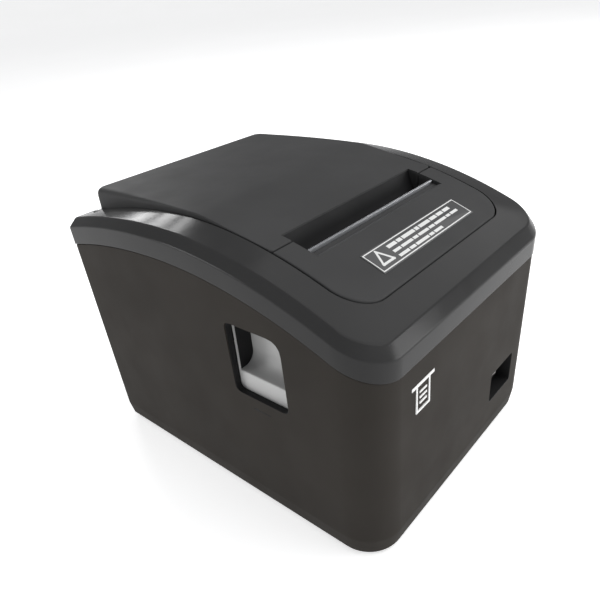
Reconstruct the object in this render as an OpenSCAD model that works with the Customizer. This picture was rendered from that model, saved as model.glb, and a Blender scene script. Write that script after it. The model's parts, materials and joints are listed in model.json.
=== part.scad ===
// Thermal receipt printer for 80 mm paper, with a side release lever, a rear-hinged paper
// cover and an automatic cutter. +Z is up, the front faces -Y and the feet stand on z = 0.

/* [Case] */
// Width of the case at its base
case_w = 140; // [138:0.5:144]
// Depth of the case at its base
case_d = 170.8; // [169:0.1:174]
// Height of the rubber feet below the case
foot_h = 2; // [1.5:0.1:2.5]
// Outward lean of the walls, in mm for each mm of height
lean = 0.0236; // [0.018:0.0002:0.028]
// Radius of the two front upright corners
corner_front = 17; // [15:0.5:18]
// Radius of the two rear upright corners
corner_rear = 3.4; // [3.2:0.1:4]
// Thickness of the outer walls
wall = 2.5; // [2.2:0.1:2.6]

/* [Arched top] */
// Distance of the top of the arch behind the middle
crest_y = 17.8; // [17:0.1:19]
// Height of the top of the arch on the side walls
crest_z = 124.45; // [124.2:0.05:125]
// Radius of the arch in front of its top
arch_front_r = 210.8; // [209:0.2:214]
// Radius of the arch behind its top
arch_rear_r = 270.8; // [265:0.2:280]
// Width and height of the sloped edge band
band = 3.7; // [3.2:0.1:4]
// Height of the central panel over the side arch
panel_rise = 6; // [5.9:0.05:6.2]
// Depth of the top frame's skirt below the edge band
skirt = 8.8; // [8.4:0.1:9.2]

/* [Paper cover] */
// Half width of the paper cover
lid_hw = 56.8; // [56.4:0.1:56.9]
// Distance of the cover's front edge in front of the middle
lid_front = 33.25; // [33:0.05:33.4]
// Distance of the cover's rear face behind the middle
lid_rear = 84.1; // [83.8:0.1:84.2]
// Thickness of the covers
skin = 2.2; // [2:0.1:2.4]

/* [Paper path] */
// Half width of the paper exit
slot_hw = 45.7; // [45.5:0.1:45.9]
// Radius of the platen roller
platen_r = 7; // [6.8:0.1:7]
// Half length of the platen roller
platen_hl = 39.8; // [39:0.1:39.9]
// Inner radius of the paper roll tray
tray_r = 41.5; // [40.5:0.1:41.5]
// Half width of the paper roll tray inside
tray_hw = 42; // [41:0.1:42]
// Stroke of the moving blade
blade_stroke = 8; // [7.8:0.1:8.2]

/* [Gears] */
// Tooth module of the feed gears
gear_m = 0.75; // [0.75]
// Teeth of the platen gear
platen_teeth = 22; // [22]
// Teeth of the small idler gear
idler_teeth = 30; // [30]
// Teeth of the large idler gear
reduction_teeth = 36; // [36]
// Teeth of the motor pinion
pinion_teeth = 12; // [12]
// Tooth module of the cutter's rack and pinion
rack_m = 0.8; // [0.8]

/* [Side window] */
// Front edge of the side window, from the middle
win_y0 = -46.5; // [-47:0.1:-46]
// Rear edge of the side window, from the middle
win_y1 = -17; // [-17.5:0.1:-17]
// Bottom edge of the side window
win_z0 = 63; // [62.5:0.1:63.5]
// Top edge of the side window
win_z1 = 97; // [96.5:0.1:97]

/* [Hidden] */
$fn = 48;
fit = 0.05;
case_z0 = foot_h;
sub_corner = 8;
sub_side = 14;

// Height of the arched edge on the side walls at depth y
function arch(y) = let (r = y < crest_y ? arch_front_r : arch_rear_r)
    crest_z - r + sqrt(r * r - pow(y - crest_y, 2));
// Height of the frame's rim above the arch where it meets the covers
function rim_rise(y) = panel_rise - 0.2 - 1.8 * max(0, min(1, (y - 10) / 70));
// Height of the paper cover's outer surface at depth y
lid_ramp_z = arch(-28) + panel_rise;
function lid_top(y) = min(132.35 - pow(y - 35, 2) / 2004, lid_ramp_z + 0.194 * (y + 28));
// Height of the front cover's outer surface at depth y
function panel_top(y) = arch(y) + panel_rise;

// Points of a rounded rectangle, counter-clockwise from the front right corner: each corner
// has sub_corner steps and each long side sub_side steps, so that rings of it can be joined
function corner(cx, cy, r, a0) =
    [for (i = [0:sub_corner]) let (a = a0 + 90 * i / sub_corner) [cx + r * cos(a), cy + r * sin(a)]];
function side(p, q) = [for (i = [1:sub_side - 1]) p + (q - p) * i / sub_side];
function plan(hx, y0, y1, rf, rr) = let (
    fr = corner(hx - rf, y0 + rf, rf, -90), rb = corner(hx - rr, y1 - rr, rr, 0),
    lb = corner(-hx + rr, y1 - rr, rr, 90), fl = corner(-hx + rf, y0 + rf, rf, 180))
    concat(fr, side(fr[sub_corner], rb[0]), rb, lb, side(lb[sub_corner], fl[0]), fl);
function case_plan(inset) = plan(case_w / 2 - inset, -case_d / 2 + inset, case_d / 2 - inset,
    corner_front - inset, max(corner_rear - inset, 0.4));
function lean_out(p, z) = let (g = lean * (z - case_z0))
    [p[0] * (1 + 2 * g / case_w), p[1] * (1 + 2 * g / case_d), z];
// A ring of the case wall at a level, and one that follows the arch
function flat_ring(inset, z) = [for (p = case_plan(inset)) lean_out(p, z)];
function arch_ring(inset, rise) = [for (p = case_plan(inset)) lean_out(p, arch(p[1]) + rise)];
function mouth_ring(out, rise, top) = [
    for (p = plan(lid_hw + 0.5 + out, -73.2 - out, 80 + out, 14.5 + out, 2 + out))
        [p[0], p[1], arch(p[1]) + rise + (top ? rim_rise(p[1]) : 0)]];

// A closed band of material whose section is a list of rings
module ring_solid(rings) {
    n = len(rings[0]);
    m = len(rings);
    pts = [for (r = rings) for (p = r) p];
    faces = [for (j = [0:m - 1]) for (i = [0:n - 1]) for (half = [0, 1])
        let (a = j * n + i, b = j * n + (i + 1) % n,
            c = ((j + 1) % m) * n + (i + 1) % n, d = ((j + 1) % m) * n + i)
        half == 0 ? [a, c, b] : [a, d, c]];
    polyhedron(points = pts, faces = faces, convexity = 10);
}
// Extrudes a profile drawn as [y, z] from x0 to x1
module along_x(x0, x1) {
    translate([x0, 0, 0]) rotate([90, 0, 90]) linear_extrude(height = x1 - x0) children();
}
module rod_x(x0, x1, y, z, r) {
    translate([x0, y, z]) rotate([0, 90, 0]) cylinder(h = x1 - x0, r = r);
}
module both_sides() {
    children();
    mirror([1, 0, 0]) children();
}
// A box given by its two corners
module block(a, b) {
    translate(a) cube(b - a);
}
// A profile between two curves of y, thick below the upper one
function strip(y0, y1, n, up) = [for (i = [0:n]) let (y = y0 + (y1 - y0) * i / n) [y, up(y)]];
function reversed(v) = [for (i = [len(v) - 1:-1:0]) v[i]];
module under_panel(y0, y1, top, bottom) {
    up = strip(y0, y1, 20, function(y) panel_top(y) + top);
    down = strip(y0, y1, 20, function(y) panel_top(y) + bottom);
    polygon(concat(up, reversed(down)));
}
module under_lid(y0, y1, top, bottom) {
    knee = 5.4;
    steps = concat([for (i = [0:4]) y0 + (knee - y0) * i / 4],
        [for (i = [1:16]) knee + (y1 - knee) * i / 16]);
    polygon(concat([for (y = steps) [y, lid_top(y) + top]],
        [for (y = reversed(steps)) [y, lid_top(y) + bottom]]));
}
// A gear's outline with involute flanks; at is the direction of one tooth's middle
function inv(a) = tan(a) * 180 / PI - a;
module gear_outline(m, teeth, at, slack = 0.9) {
    r = m * teeth / 2;
    base = r * cos(20);
    root = r - 1.2 * m;
    tip = r + 0.95 * m;
    low = max(base, root) + 0.01;
    half = 90 / teeth - slack;
    radii = [for (i = [0:4]) low + (tip - low) * i / 4];
    function wide(q) = half + inv(20) - inv(acos(min(1, base / q)));
    polygon([for (k = [0:teeth - 1]) let (c = at + 360 * k / teeth) each concat(
        [[root * cos(c - wide(low) - 0.6), root * sin(c - wide(low) - 0.6)]],
        [for (q = radii) [q * cos(c - wide(q)), q * sin(c - wide(q))]],
        [for (q = reversed(radii)) [q * cos(c + wide(q)), q * sin(c + wide(q))]],
        [[root * cos(c + wide(low) + 0.6), root * sin(c + wide(low) + 0.6)]])]);
}
// Direction of a tooth on gear 2, which lies in direction phi from gear 1
function mesh(at1, phi, n1, n2) = phi + 180 - (at1 - phi) * n1 / n2 + 180 / n2;
// A ring sector about the origin, and a screw whose head is at the origin and points down
module sector(r0, r1, a0, a1) {
    difference() {
        circle(r = r1, $fn = 96);
        circle(r = r0, $fn = 96);
        rotate(a1) translate([-2 * r1, 0]) square([4 * r1, 2 * r1]);
        rotate(a0) translate([-2 * r1, -2 * r1]) square([4 * r1, 2 * r1]);
    }
}
module screw(head_r, head_h, r, length) {
    difference() {
        union() {
            cylinder(h = head_h, r = head_r);
            translate([0, 0, head_h]) cylinder(h = length, r = r);
        }
        for (a = [0, 90]) rotate(a) block([-head_r * 0.6, -0.35, -1], [head_r * 0.6, 0.35, head_h * 0.5]);
    }
}

// Axes of the mechanism, as [y, z]
hinge = [76, 120];
platen = [-29, 98];
lever_axis = [-24, 64];
arm = platen - hinge;
lift_dir = [arm[1], -arm[0]] / norm(arm);
idler_gap = gear_m * (platen_teeth + idler_teeth) / 2;
idler = platen - idler_gap * lift_dir;
motor_gap = gear_m * (reduction_teeth + pinion_teeth) / 2;
motor_dir = 228;
motor = idler + motor_gap * [cos(motor_dir), sin(motor_dir)];
tray = [32, 62];
head_axis = [-39.5, 76];
motor_ears = [for (a = [150, 330]) motor + 17 * [cos(a), sin(a)]];
rocker_axis = [36.35, -76.6];
blade_z = 107.7;
cutter_axis = [31, -60];
rack_line = cutter_axis[0] + rack_m * 12 / 2;
nip_y = platen[0] - platen_r - 0.35;
idler_up = atan2(platen[1] - idler[1], platen[0] - idler[0]);
idler_at = idler_up;
platen_at = mesh(idler_at, idler_up, idler_teeth, platen_teeth);
reduction_at = motor_dir;
pinion_at = mesh(reduction_at, motor_dir, reduction_teeth, pinion_teeth);
gear_x = [40.6, 43.6];
outer_gear_x = [50.3, 53];
plate_x = [48, 49.5];
hook_x = [45.8, 47.5];
base_top = case_z0 + 2.4;
screw_spots = [for (x = [-60, 60], y = [-44, 46]) [x, y]];
feet_spots = [for (x = [-54, 54], y = [-62, 62]) [x, y]];
plate_spots = [-30, 24];
board_spots = [for (x = [-42, 42], y = [-24, 60]) [x, y]];

// ---- Case ----
module window_cut(grow) {
    hull() for (y = [win_y0 - grow + 4, win_y1 + grow - 4], z = [win_z0 - grow + 4, win_z1 + grow - 4])
        translate([-80, y, z]) rotate([0, 90, 0]) cylinder(h = 20, r = 4, $fn = 24);
}
module switch_well(grow, y0, y1) {
    block([24.8 - grow, y0, 23.1 - grow], [47.9 + grow, y1, 39.4 + grow]);
}
module lower_case() color([0.075, 0.072, 0.07]) {
    difference() {
        union() {
            ring_solid([flat_ring(1.6, case_z0), flat_ring(0.4, case_z0 + 8),
                arch_ring(0.4, -skirt - 0.4), arch_ring(1.8, -skirt - 0.4), arch_ring(1.8, -skirt + 2.2),
                arch_ring(2.8, -skirt + 2.2), flat_ring(2.9, case_z0 + 8), flat_ring(2.9, case_z0)]);
            switch_well(1.8, -84, -75.5);
            for (p = screw_spots) translate([p[0], p[1], base_top]) cylinder(h = 14, r = 4);
            for (p = screw_spots) block([p[0] < 0 ? -68.5 : 62, p[1] - 0.8, base_top],
                [p[0] < 0 ? -62 : 68.5, p[1] + 0.8, base_top + 12]);
        }
        for (p = screw_spots) translate([p[0], p[1], 0]) cylinder(h = 16, r = 1.5);
        window_cut(0);
        switch_well(0, -95, -77.3);
        switch_well(-2, -90, -70);
        block([-53, 80, 7.6], [53, 95, 27.4]);
        rod_x(60, 80, -66, 78, 3.4);
        for (z = [86, 90, 94]) rod_x(60, 80, -66, z, 1.25);
    }
}
module top_frame() color([0.1, 0.1, 0.102]) {
    difference() {
        union() {
            ring_solid([arch_ring(0, -skirt), arch_ring(0, 0), arch_ring(band, band),
                mouth_ring(0, 0, true), mouth_ring(0, -2.2, false), mouth_ring(2, -2.2, false),
                mouth_ring(2, 3, false), arch_ring(5.6, 1.2), arch_ring(wall, -1.4),
                arch_ring(wall, -skirt + 2.8), arch_ring(1.5, -skirt + 2.8), arch_ring(1.5, -skirt)]);
            both_sides() difference() {
                rod_x(lid_hw + 0.7, 62, hinge[0], hinge[1], 3.6);
                block([50, 60, hinge[1] + 2.1], [70, 90, hinge[1] + 10]);
            }
        }
        block([-lid_hw - 0.5, 70, 110.8], [lid_hw + 0.5, 95, 140]);
        both_sides() rod_x(50, 62.1, hinge[0], hinge[1], 1.8);
    }
}
module base_plate() color([0.09, 0.09, 0.09]) {
    difference() {
        translate([0, 0, case_z0]) linear_extrude(height = 2.4) polygon(case_plan(3.1));
        for (p = screw_spots) translate([p[0], p[1], 0]) cylinder(h = 16, r = 1.7);
        for (p = feet_spots) translate([p[0], p[1], 0]) cylinder(h = 3.2, r = 7);
        for (i = [0:8]) block([-30 + i * 7, 20, 0], [-27 + i * 7, 50, 9]);
        both_sides() for (y = plate_spots) translate([plate_x[1] + 5.5, y, 2.6]) cylinder(h = 9, r = 1.55);
    }
    for (p = board_spots) translate([p[0], p[1], base_top - 0.1]) difference() {
        cylinder(h = 10.5 - base_top + 0.1, r = 3);
        translate([0, 0, 1]) cylinder(h = 9, r = 1.3);
    }
}
module rubber_feet() color([0.03, 0.03, 0.03])
    for (p = feet_spots) translate([p[0], p[1], 0]) {
        cylinder(h = 1, r1 = 6.2, r2 = 7);
        translate([0, 0, 1]) cylinder(h = 2.2, r = 7);
    }
module base_screws() color([0.6, 0.6, 0.62])
    for (p = screw_spots) translate([p[0], p[1], case_z0 - 1.4]) screw(2.9, 1.4, 1.5, 12);

// ---- Covers ----
module lid_side(x0, x1) {
    along_x(x0, x1) {
        steps = [for (i = [0:16]) -lid_front + (lid_rear + lid_front) * i / 16];
        polygon(concat([for (y = steps) [y, lid_top(y) - 0.5]], [[lid_rear, 111.6], [72, 112]],
            [for (y = reversed([for (s = steps) if (s < 66) s])) [y, arch(y) - 1.2]]));
    }
}
module paper_cover() color([0.082, 0.083, 0.085]) {
    difference() {
        intersection() {
            union() {
                along_x(-lid_hw, lid_hw) under_lid(-lid_front, lid_rear, 0, -skin);
                block([-lid_hw, lid_rear - skin, 111.6], [lid_hw, lid_rear, lid_top(lid_rear) - 0.5]);
                both_sides() lid_side(lid_hw - 2, lid_hw);
                both_sides() rod_x(lid_hw - 4.4, lid_hw, hinge[0], hinge[1], 4.6);
                for (x = [-20, 20]) along_x(x - 0.8, x + 0.8) under_lid(-10, 80, -1, -6);
            }
            linear_extrude(height = 160)
                polygon(plan(lid_hw, -lid_front, lid_rear, 0.4, 5));
        }
        block([-slot_hw, -40, 100], [slot_hw, -28, 140]);
        both_sides() rod_x(50, 62.1, hinge[0], hinge[1], 1.8 + fit);
    }
    // Chute behind the exit, and two posts for the platen carrier
    along_x(-slot_hw, slot_hw)
        polygon([[-28.01, lid_ramp_z - 0.05], [-27.9, lid_ramp_z - skin], [-27.4, 122], [-32.8, 110.8],
            [-34.2, 111.4], [-29, 122.4]]);
    both_sides() along_x(slot_hw, slot_hw + 1.6)
        polygon([[-lid_front, 112], [-lid_front, 123], [-20, 125], [-26, 112]]);
    difference() {
        both_sides() translate([30, -21.5, 110]) cylinder(h = 15, r = 3.6);
        both_sides() translate([30, -21.5, 105]) cylinder(h = 16, r = 1.25);
    }
}
module cover_outline(inset) {
    polygon(plan(lid_hw - inset, -72.7 + inset, -33.75 - inset, 14 - inset, 0.5));
}
module front_cover() color([0.08, 0.08, 0.082]) {
    difference() {
        intersection() {
            union() {
                along_x(-60, 60) under_panel(-73, -33.5, 0, -skin);
                difference() {
                    along_x(-60, 60) under_panel(-73, -33.5, -0.5, -6.2);
                    difference() {
                        translate([0, 0, 90]) linear_extrude(height = 40) cover_outline(1.8);
                        block([-60, -36, 80], [60, -30, 140]);
                    }
                }
            }
            translate([0, 0, 90]) linear_extrude(height = 40) cover_outline(0);
        }
        block([-slot_hw, -46.2, 100], [slot_hw, -30, 140]);
    }
    along_x(-slot_hw, slot_hw)
        polygon([[-46.25, panel_top(-46.2)], [-45.2, 119.6], [-43.8, 118.9], [-41.45, 119.3], [-41.45, 113],
            [-43.4, 113], [-43.4, 117.2], [-46.2, 118.2]]);
    both_sides() along_x(slot_hw, slot_hw + 1.4)
        polygon([[-46.2, 114], [-46.2, 120], [-33.75, 123], [-33.75, 114]]);
}
module tear_bar() color([0.75, 0.75, 0.76]) {
    teeth = 90;
    half = 45;
    pitch = 2 * half / teeth;
    translate([0, -40.5, 0]) rotate([90, 0, 0]) linear_extrude(height = 0.9)
        polygon(concat([[-half - 0.2, 110], [half + 0.2, 110], [half + 0.2, 121.5]],
            [for (i = [teeth - 1:-1:0]) each [[-half + (i + 1) * pitch - 0.15, 121.5],
                [-half + (i + 0.5) * pitch, 122]]], [[-half - 0.2, 121.5]]));
}
module notice_label() color([0.04, 0.04, 0.042]) {
    intersection() {
        along_x(-40, 40) under_panel(-68, -50, 0.2, 0);
        block([-33, -66.5, 90], [37, -55.3, 140]);
    }
}
// Badge on the front: a plain slip of paper leaving a slot
module front_badge() color([0.9, 0.9, 0.9]) {
    front_y = -case_d / 2 + 0.4 - lean * 68;
    translate([-40, front_y, 71.5]) rotate([90, 0, 0]) translate([0, 0, -0.35]) {
        linear_extrude(height = 0.7) {
            difference() {
                translate([-5, -6.5]) square([10, 13]);
                translate([-4, -5.5]) square([8, 11]);
            }
            for (z = [-3, -0.5, 2]) translate([-2.6, z]) square([5.2, 0.9]);
            translate([-8, 5.6]) square([16, 1.4]);
        }
    }
}

// ---- Release lever ----
module release_lever() color([0.6, 0.6, 0.6]) {
    x_face = -67.9;
    x_back = -58;
    scoop_r = 5.5;
    difference() {
        union() {
            along_x(x_face, x_face + 1.8) translate([-49, 57]) square([34.5, 15]);
            block([x_face, -49, 70], [x_back, -17.2, 72]);
            block([x_back - 1.6, -49, 60], [x_back, -17.2, 98.5]);
            for (y = [-49, -19]) block([x_face, y, 70], [x_back, y + 1.8, 98.5]);
            rod_x(-62.6, -55, lever_axis[0], lever_axis[1], 6);
        }
        rod_x(-63.5, -54, lever_axis[0], lever_axis[1], 2.5);
    }
    // Concave corner of the finger scoop
    difference() {
        block([x_back - 1.6 - scoop_r, -48, 71.5], [x_back - 1.2, -18, 72 + scoop_r]);
        translate([x_back - 1.6 - scoop_r, -10, 72 + scoop_r]) rotate([90, 0, 0])
            cylinder(h = 50, r = scoop_r);
    }
    // Peg that the spring stands on
    rod_x(x_back - 0.5, -53.5, -39, 61.5, 1);
}
module lever_shaft() color([0.7, 0.7, 0.72])
    rod_x(-62.4, plate_x[1] + 0.4, lever_axis[0], lever_axis[1], 2.5);
module latch_hooks() color([0.62, 0.62, 0.64])
    both_sides() along_x(hook_x[0], hook_x[1]) translate(lever_axis) difference() {
        union() {
            circle(r = 5);
            rotate(114) translate([0, -2.5]) square([27, 5]);
            sector(25.1, 28, 92, 119.5);
        }
        circle(r = 2.5);
    }
// Helical tube about a vertical axis
module coil(r, wire, turns, height) {
    steps = 12;
    rings = turns * steps;
    sides = 6;
    function at(i, j) = let (a = 360 * i / steps, b = 360 * j / sides,
        q = r + wire * cos(b)) [q * cos(a), q * sin(a), wire + (height - 2 * wire) * i / rings
        + wire * sin(b)];
    pts = [for (i = [0:rings]) for (j = [0:sides - 1]) at(i, j)];
    polyhedron(points = pts, faces = concat(
        [[for (j = [0:sides - 1]) j]],
        [for (i = [0:rings - 1]) for (j = [0:sides - 1]) let (k = (j + 1) % sides)
            [i * sides + j, (i + 1) * sides + j, (i + 1) * sides + k, i * sides + k]],
        [[for (j = [sides - 1:-1:0]) rings * sides + j]]), convexity = 10);
}
module lever_spring() color([0.7, 0.7, 0.7])
    translate([-55.3, -39, 62.6]) coil(2, 0.35, 9, 18);
module catch_springs() color([0.75, 0.75, 0.76])
    both_sides() {
        along_x(45.2, 45.6) polygon([[-28.5, 87.6], [-20.5, 87.6], [-20.5, 96], [-28.5, 93]]);
        along_x(45.2, 47.4) translate(lever_axis) sector(24, 24.8, 84, 99);
    }

// ---- Switch, button and lights ----
module power_switch() color([0.08, 0.08, 0.082]) {
    difference() {
        union() {
            block([27.1, -77.4, 25.4], [45.6, -63, 37.1]);
            block([25.4, -78.8, 23.7], [47.3, -77.35, 38.8]);
        }
        block([28.4, -90, 26.2], [44.3, -71.5, 36.3]);
    }
    translate([rocker_axis[0], rocker_axis[1], 25.6]) cylinder(h = 11.2, r = 0.8 - fit);
    for (x = [31, 36, 41]) block([x - 0.4, -63.1, 29], [x + 0.4, -57, 33.5]);
}
module power_rocker() color([0.13, 0.125, 0.12]) {
    difference() {
        translate([rocker_axis[0], rocker_axis[1], 26.6]) linear_extrude(height = 9.3) rotate(7)
            polygon([[-7.2, -4.4], [0, -2.6], [7.2, -4.4], [7.2, -1.6], [0, 3], [-7.2, -1.6]]);
        translate([rocker_axis[0], rocker_axis[1], 20]) cylinder(h = 30, r = 0.8);
    }
}
module feed_button() color([0.2, 0.2, 0.21]) {
    rod_x(66.5, 72.6, -66, 78, 3.1);
    rod_x(67, 68.4, -66, 78, 4.2);
}
module button_board() color([0.05, 0.3, 0.12]) {
    block([61.5, -72, 70], [63, -60, 98]);
    block([63, -68.5, 75.5], [65.4, -63.5, 80.5]);
}
module status_lenses() color([0.8, 0.85, 0.8])
    for (z = [86, 90, 94]) {
        rod_x(63.05, 72.2, -66, z, 1.2);
    }

// ---- Rear connectors ----
port_z = 12.1;
module rear_panel() color([0.06, 0.06, 0.062]) {
    difference() {
        block([-55, 81, 6.5], [55, 82.6, 28.5]);
        translate([-43, 90, 18.6]) rotate([90, 0, 0]) cylinder(h = 20, r = 6.4);
        block([-33.3, 70, port_z - 0.3], [-20.7, 90, 23.4]);
        block([-17.3, 70, port_z - 0.3], [-0.7, 90, 25.9]);
        block([3.4, 70, port_z - 0.3], [34.6, 90, 24.9]);
        block([37.2, 70, port_z - 0.3], [51.8, 90, 25.4]);
        for (x = [-53.6, 53.6]) translate([x, 90, 17]) rotate([90, 0, 0]) cylinder(h = 20, r = 0.8);
    }
}
module power_inlet() color([0.05, 0.05, 0.05]) {
    difference() {
        union() {
            translate([-43, 84, 18.6]) rotate([90, 0, 0]) cylinder(h = 14, r = 6);
            block([-49, 68, port_z], [-37, 80.4, 25]);
        }
        translate([-43, 90, 18.6]) rotate([90, 0, 0]) cylinder(h = 16, r = 4.6);
    }
    for (a = [90, 210, 330]) translate([-43 + 2.2 * cos(a), 82, 18.6 + 2.2 * sin(a)]) rotate([90, 0, 0])
        cylinder(h = 9, r = 0.6);
}
module socket(x0, x1, z1, wall_t, deep) {
    difference() {
        block([x0, 67, port_z], [x1, 83.6, z1]);
        block([x0 + wall_t, 83.6 - deep, port_z + wall_t], [x1 - wall_t, 90, z1 - wall_t]);
    }
}
module usb_port() color([0.7, 0.7, 0.72]) {
    socket(-33, -21, 23.1, 1, 12);
    block([-30, 71, 15.9], [-24, 82, 19.3]);
}
module ethernet_port() color([0.7, 0.7, 0.72]) {
    socket(-17, -1, 25.6, 1.3, 13);
    for (i = [0:7]) block([-13.2 + i * 1.02, 70, 22.4], [-12.7 + i * 1.02, 80, 22.9]);
}
module serial_port() color([0.7, 0.7, 0.72]) {
    difference() {
        union() {
            block([3.7, 68, port_z], [34.3, 82.9, 24.6]);
            hull() for (x = [12, 26], z = [16, 21]) translate([x + (z > 18 ? 0 : (x < 20 ? 1 : -1)), 87, z])
                rotate([90, 0, 0]) cylinder(h = 6, r = 2.4, $fn = 24);
        }
        for (x = [6.7, 31.3]) translate([x, 84, 18.4]) rotate([90, 0, 0]) cylinder(h = 10, r = 1.5);
        for (i = [0:4]) translate([13.5 + i * 2.75, 88, 20]) rotate([90, 0, 0]) cylinder(h = 6, r = 0.5);
        for (i = [0:3]) translate([14.9 + i * 2.75, 88, 17.2]) rotate([90, 0, 0]) cylinder(h = 6, r = 0.5);
    }
}
module drawer_port() color([0.05, 0.05, 0.05]) {
    socket(37.5, 51.5, 25.1, 1.3, 12);
    for (i = [0:5]) block([41.7 + i * 1.02, 71, 21.9], [42.2 + i * 1.02, 80, 22.4]);
}
module main_board() color([0.05, 0.3, 0.12]) {
    difference() {
        block([-46, -30, 10.5], [46, 78, port_z]);
        for (p = board_spots) translate([p[0], p[1], 0]) cylinder(h = 30, r = 1.6);
    }
    block([-9, 8, port_z], [5, 22, port_z + 1.4]);
    block([-30, -20, port_z], [-22, -12, port_z + 1.6]);
    for (x = [18, 30]) translate([x, -12, port_z]) cylinder(h = 5, r = 4);
    block([-12, -29, port_z], [12, -25, port_z + 4]);
}
module board_screws() color([0.6, 0.6, 0.62])
    for (p = board_spots) translate([p[0], p[1], port_z + 1.2]) rotate([180, 0, 0]) screw(2.6, 1.2, 1.3, 5);
module head_cable() color([0.8, 0.8, 0.78])
    along_x(-10, 10) polygon([[-27.3, port_z + 4], [-27, port_z + 4], [-27, 22], [-34, 30], [-44.6, 60],
        [-44.6, 84], [-40.3, 87.6], [-40.3, 88], [-40.5, 88], [-44.9, 84.2], [-44.9, 60],
        [-34.3, 29.8], [-27.3, 21.8]]);

// ---- Chassis ----
module roll_tray() color([0.07, 0.07, 0.072]) {
    difference() {
        along_x(-tray_hw - 2, tray_hw + 2) {
            translate(tray) circle(r = tray_r + 2, $fn = 128);
            translate([tray[0] - tray_r - 2, tray[1]]) square([2 * tray_r + 4, 41]);
        }
        along_x(-tray_hw, tray_hw) {
            translate(tray) circle(r = tray_r, $fn = 128);
            translate([tray[0] - tray_r, tray[1]]) square([2 * tray_r, 60]);
        }
        along_x(-60, 60) translate([tray[0] - 60, 103]) square([120, 30]);
        along_x(-60, 60) translate([-20, 80]) square([14, 30]);
        block([-8, -15, 60], [8, -8, 72]);
    }
    both_sides() for (y = [6, 30]) rod_x(tray_hw + 1.9, plate_x[0], y, 50, 3);
}
module plate_shape() {
    notch_dir = atan2(lift_dir[1], lift_dir[0]);
    difference() {
        polygon([[-62, 106], [-62, 100], [-54, 84], [-54, 52], [-48, base_top], [38, base_top],
            [38, 58], [-6, 70], [-6, 106]]);
        translate(platen) circle(r = 4.6);
        translate(platen) rotate(notch_dir) translate([0, -4.6]) square([14, 9.2]);
    }
}
module side_plate(sign_x) {
    difference() {
        union() {
            along_x(plate_x[0], plate_x[1]) plate_shape();
            for (y = plate_spots) block([plate_x[0], y - 6, base_top],
                [plate_x[1] + 10, y + 6, base_top + 1.5]);
        }
        rod_x(40, 60, lever_axis[0], lever_axis[1], 2.5 + fit);
        rod_x(40, 60, head_axis[0], head_axis[1], 1.6 + fit);
        for (y = plate_spots) translate([plate_x[1] + 5.5, y, 0]) cylinder(h = 20, r = 1.6);
        if (sign_x > 0) rod_x(40, 60, idler[0], idler[1], 2 + fit);
    }
}
module side_plate_right() color([0.62, 0.63, 0.65]) side_plate(1);
module side_plate_left() color([0.62, 0.63, 0.65]) {
    mirror([1, 0, 0]) side_plate(-1);
    rod_x(-57.5, -plate_x[0] - 1, -39, 81.8, 1);
}
module cross_plate() color([0.62, 0.63, 0.65]) {
    block([-plate_x[0], -49.2, 60], [plate_x[0], -47.9, 99]);
    both_sides() block([plate_x[0] - 10, -49.2, 60], [plate_x[0], -44, 61.3]);
}
module chassis_screws() color([0.6, 0.6, 0.62])
    both_sides() for (y = plate_spots) translate([plate_x[1] + 5.5, y, base_top + 2.9]) rotate([180, 0, 0])
        screw(2.8, 1.4, 1.55, 3.2);

// ---- Print head and cutter ----
module print_head() color([0.85, 0.83, 0.78]) {
    block([-40, nip_y - 1, 84], [40, nip_y, platen[1] + 0.6]);
}
module heat_sink() color([0.75, 0.75, 0.77]) {
    block([-40.2, nip_y - 3.6, 82.5], [40.2, nip_y - 1, 98.4]);
    for (i = [0:8]) block([-36.6 + i * 9, -43, 88.9], [-35.4 + i * 9, nip_y - 3.5, 98]);
    both_sides() block([36, nip_y - 4.8, 73.5], [37.6, nip_y - 1.5, 84]);
    rod_x(-49.9, 49.9, head_axis[0], head_axis[1], 1.6);
}
module head_springs() color([0.75, 0.75, 0.76])
    for (x = [-22.5, 22.5]) translate([x, -43.35, 94]) rotate([90, 0, 0]) coil(2.2, 0.35, 4, 4.5);
module cutter_frame() color([0.6, 0.6, 0.62]) {
    difference() {
        translate([0, 0, 106]) linear_extrude(height = 1) polygon([[-50, -41.2], [50, -41.2], [50, -58],
            [40, -69.5], [-40, -69.5], [-50, -58]]);
        translate([cutter_axis[0], cutter_axis[1], 100]) cylinder(h = 10, r = 3);
    }
    both_sides() block([40.5, -58, 107], [43, -41.2, 110]);
}
module moving_blade() color([0.8, 0.8, 0.82]) {
    teeth = 7;
    pitch = PI * rack_m;
    root_x = rack_line + 1.2 * rack_m;
    tip_x = rack_line - 0.9 * rack_m;
    y_gap = cutter_axis[1] - pitch * 3.5;
    translate([0, 0, blade_z]) linear_extrude(height = 1) {
        difference() {
            polygon([[-40.1, -40.7], [0, -43.7], [40.1, -40.7], [40.1, -68.6], [root_x, -68.6],
                [root_x, -49], [24, -49], [24, -62], [-40.1, -62]]);
            translate([-30, -56]) square([44, 5]);
        }
        for (k = [0:teeth - 1]) {
            y = y_gap + (k + 0.5) * pitch;
            if (y > -68 && y < -56) polygon([[root_x + 0.5, y - 0.95], [root_x, y - 0.95],
                [tip_x, y - 0.28], [tip_x, y + 0.28], [root_x, y + 0.95], [root_x + 0.5, y + 0.95]]);
        }
    }
}
module cutter_pinion() color([0.8, 0.65, 0.3])
    translate([cutter_axis[0], cutter_axis[1], 107.3]) difference() {
        linear_extrude(height = 2.4) gear_outline(rack_m, 12, 15, 1.4);
        translate([0, 0, -1]) cylinder(h = 5, r = 1);
    }
module cutter_motor() color([0.65, 0.65, 0.67]) {
    translate([cutter_axis[0], cutter_axis[1], 82]) cylinder(h = 24, r = 9.5);
    translate([cutter_axis[0], cutter_axis[1], 105]) cylinder(h = 1.9, r = 2.9);
    translate([cutter_axis[0], cutter_axis[1], 106]) cylinder(h = 3.6, r = 1 - fit);
}
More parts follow.
